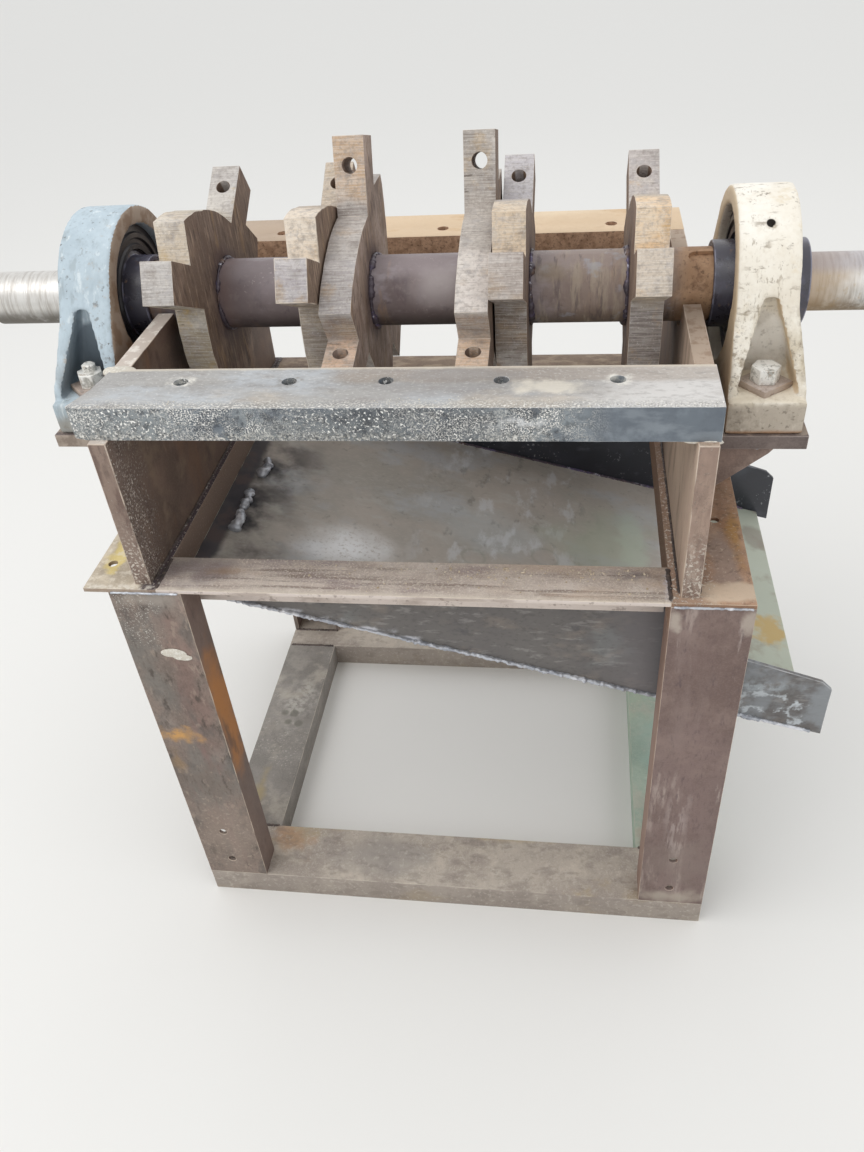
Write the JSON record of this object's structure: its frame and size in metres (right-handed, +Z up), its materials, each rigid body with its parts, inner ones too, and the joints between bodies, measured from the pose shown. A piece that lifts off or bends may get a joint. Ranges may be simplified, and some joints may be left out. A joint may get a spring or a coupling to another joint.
{
  "type": "hammer crusher",
  "caption": "Open lower housing of a hammer crusher: bare arm rotor in pillow blocks over a channel-iron stand with a sloping chute.",
  "frame": {"origin": "on the floor, under the centre of the overall box", "axes": "+X along the rotor towards the discharge side, +Y from the front to the rear, +Z up"},
  "size_m": [1.26, 0.67, 1.1341],
  "materials": {
    "channel_brown": "rusty mill scale",
    "channel_dark": "rusty mill scale with pale smears",
    "base_grey": "dusty",
    "base_green": "old pale green paint",
    "rail_tan": "dusty, sand-strewn",
    "rail_pale": "dusty",
    "rail_orange": "orange rust",
    "wall_rust": "dark brown rust",
    "bar_slate": "slate-grey, cement-specked",
    "bar_tan": "tan dust over rust",
    "chute_olive": "scuffed grey-olive",
    "cheek_grey": "dark grey",
    "cheek_black": "black",
    "bracket_brown": "rusty",
    "housing_blue": "chalky light blue-grey paint",
    "housing_cream": "worn cream paint",
    "bearing_steel": "greasy dark steel",
    "bolt_zinc": "weathered zinc",
    "washer_rust": "rusty",
    "shaft_steel": "mill scale, machined ends",
    "arm_cut": "flame-cut steel"
  },
  "bodies": {
    "frame": {"leg_front_left": "channel_brown", "leg_front_right": "channel_dark", "leg_rear_left": "channel_brown", "leg_rear_right": "channel_dark", "base_rail_front": "base_grey", "base_rail_rear": "base_grey", "base_rail_left": "base_grey", "base_rail_right": "base_green", "top_rail_front": "rail_tan", "top_rail_rear": "rail_tan", "top_rail_left": "rail_pale", "top_rail_right": "rail_orange", "side_wall_left": "wall_rust", "side_wall_right": "wall_rust", "flange_bar_front": "bar_slate", "flange_bar_rear": "bar_tan", "chute_floor": "chute_olive", "chute_cheek_front": "cheek_grey", "chute_cheek_rear": "cheek_black", "bracket_plate_left": "bracket_brown", "bracket_plate_right": "bracket_brown", "gussets_left": "bracket_brown", "gussets_right": "bracket_brown", "pillow_block_left": "housing_blue", "pillow_block_right": "housing_cream", "outer_ring_left": "bearing_steel", "outer_ring_right": "bearing_steel", "foot_bolts_left": "bolt_zinc", "foot_bolts_right": "bolt_zinc", "washer_plates_left": "washer_rust", "washer_plates_right": "washer_rust"},
    "rotor": {"shaft": "shaft_steel", "arm_plate_1": "arm_cut", "arm_plate_2": "arm_cut", "arm_plate_3": "arm_cut", "arm_plate_4": "arm_cut", "arm_plate_5": "arm_cut", "arm_plate_6": "arm_cut", "inner_ring_left": "bearing_steel", "inner_ring_right": "bearing_steel"}
  },
  "joints": [
    {"name": "rotor_spin", "type": "hinge", "parent": "frame", "child": "rotor", "pos_m": [0, 0, 0.942], "axis": [1, 0, 0], "continuous": true}
  ]
}
